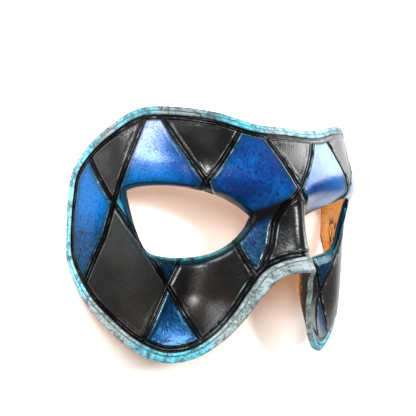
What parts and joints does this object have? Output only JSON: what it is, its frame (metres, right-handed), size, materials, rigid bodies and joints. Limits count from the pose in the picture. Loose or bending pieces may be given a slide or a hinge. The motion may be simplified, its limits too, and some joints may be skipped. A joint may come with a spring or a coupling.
{
  "type": "leather half mask",
  "caption": "Moulded leather half mask with tooled harlequin diamonds in blue and black and a silvered rim, lying face up.",
  "frame": {"origin": "middle of the footprint on the surface that the mask lies on, under the centre of its bounding box", "axes": "+X across the face towards the wearer's left, +Y towards the forehead, +Z out of the face"},
  "size_m": [0.1476, 0.0974, 0.0599],
  "materials": {
    "painted_leather": "glossy"
  },
  "bodies": {
    "root": {"leather_mask": "painted_leather"}
  },
  "joints": []
}
